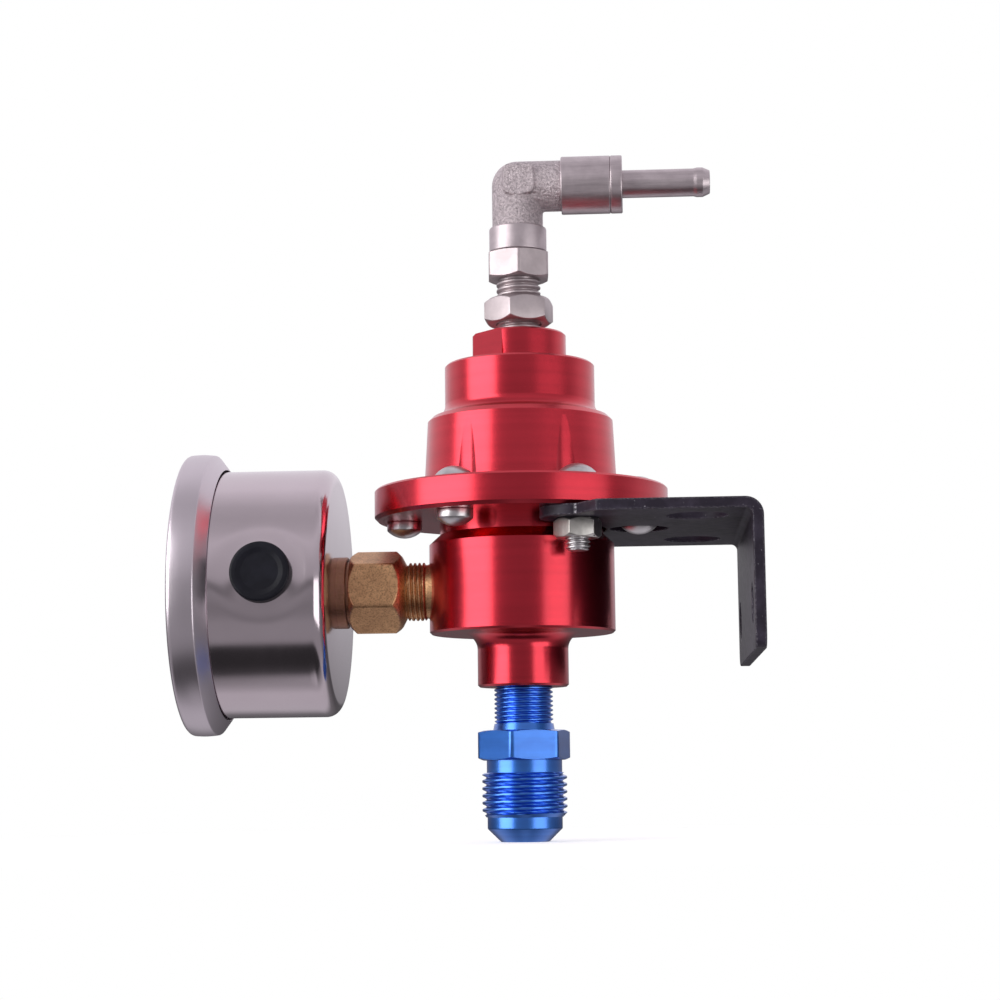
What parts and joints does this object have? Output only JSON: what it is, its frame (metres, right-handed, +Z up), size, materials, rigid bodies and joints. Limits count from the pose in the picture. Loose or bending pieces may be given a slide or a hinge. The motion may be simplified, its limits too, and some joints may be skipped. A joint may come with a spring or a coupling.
{
  "type": "fuel pressure regulator",
  "caption": "Adjustable return-style fuel pressure regulator with red body, side gauge, blue flare outlet, black angle bracket and swivel vacuum elbow",
  "frame": {"origin": "on the body axis at the lower end of the outlet thread", "axes": "+Z up along the body axis, +X towards the bracket leg, -X towards the gauge, +Y towards the inlet port"},
  "size_m": [0.0962, 0.057, 0.1176],
  "materials": {
    "red_anodised": "red anodised, fine turned marks",
    "blue_anodised": "blue anodised",
    "black_paint": "gloss black paint with small chips along the edges",
    "brass": "dull brass",
    "nickel_plate": "warm nickel plate",
    "stainless": "polished stainless sheet",
    "steel": "bright steel",
    "zinc": "zinc plated",
    "rubber": "black rubber",
    "dial_white": "white dial enamel",
    "pointer_black": "black enamel",
    "clear_glass": "clear window"
  },
  "bodies": {
    "housing": {"lower_body": "red_anodised", "bonnet": "red_anodised", "flange_rivets": "steel", "bracket_screws": "steel", "bracket_nuts": "zinc", "bracket": "black_paint", "outlet_fitting": "blue_anodised", "seat_nozzle": "brass", "diaphragm": "rubber", "main_spring": "steel", "gauge_socket": "brass", "stem_seal": "rubber", "gauge_case": "stainless", "gauge_bezel": "stainless", "window_gasket": "rubber", "gauge_window": "clear_glass", "gauge_plug": "rubber", "dial": "dial_white", "dial_screws": "brass", "stop_pin": "brass", "movement_plates": "brass", "movement_pillars": "brass", "bourdon_tube": "brass", "tube_tip": "brass", "hairspring": "steel"},
    "valve": {"valve_plate": "nickel_plate", "spring_cup": "steel", "diaphragm_rivet": "brass"},
    "spring_button": {"spring_seat": "steel"},
    "adjuster": {"adjuster_stud": "nickel_plate", "swivel_o_ring": "rubber", "swivel_clip": "steel"},
    "elbow": {"swivel_elbow": "nickel_plate", "hose_nipple": "nickel_plate"},
    "lock_nut": {"jam_nut": "nickel_plate"},
    "needle": {"pointer": "pointer_black", "pinion_shaft": "steel"},
    "sector": {"sector_gear": "brass", "sector_shaft": "steel"},
    "link_bar": {"link": "brass"}
  },
  "joints": [
    {"name": "valve_lift", "type": "slide", "parent": "housing", "child": "valve", "axis": [0, 0, 1], "range_m": [0, 0.001], "stiffness_N_per_m": 1000, "springref_m": -0.001, "deforming": ["diaphragm", "main_spring"]},
    {"name": "adjuster_travel", "type": "slide", "parent": "housing", "child": "spring_button", "axis": [0, 0, 1], "range_m": [-0.002, 0.0025], "deforming": ["main_spring"]},
    {"name": "adjuster_turn", "type": "hinge", "parent": "spring_button", "child": "adjuster", "pos_m": [0, 0, 0.08], "axis": [0, 0, 1], "range_deg": [-720, 900]},
    {"name": "elbow_swivel", "type": "hinge", "parent": "adjuster", "child": "elbow", "pos_m": [0, 0, 0.1], "axis": [0, 0, 1], "continuous": true},
    {"name": "jam_nut_turn", "type": "hinge", "parent": "housing", "child": "lock_nut", "pos_m": [0, 0, 0.086], "axis": [0, 0, 1], "range_deg": [-360, 720]},
    {"name": "sector_turn", "type": "hinge", "parent": "housing", "child": "sector", "pos_m": [-0.03915, 0.0088, 0.0334], "axis": [-1, 0, 0], "range_deg": [0, 38.57]},
    {"name": "pointer_turn", "type": "hinge", "parent": "housing", "child": "needle", "pos_m": [-0.03915, 0, 0.0382], "axis": [1, 0, 0], "range_deg": [0, 270]},
    {"name": "link_turn", "type": "hinge", "parent": "sector", "child": "link_bar", "pos_m": [-0.03915, 0.0118, 0.0334], "axis": [-1, 0, 0], "range_deg": [-38.57, 0]}
  ],
  "couplings": [
    {"joint": "adjuster_turn", "follows": "adjuster_travel", "rad_per_m": 6283.2},
    {"joint": "pointer_turn", "follows": "sector_turn", "ratio": 7},
    {"joint": "link_turn", "follows": "sector_turn", "ratio": -1}
  ]
}
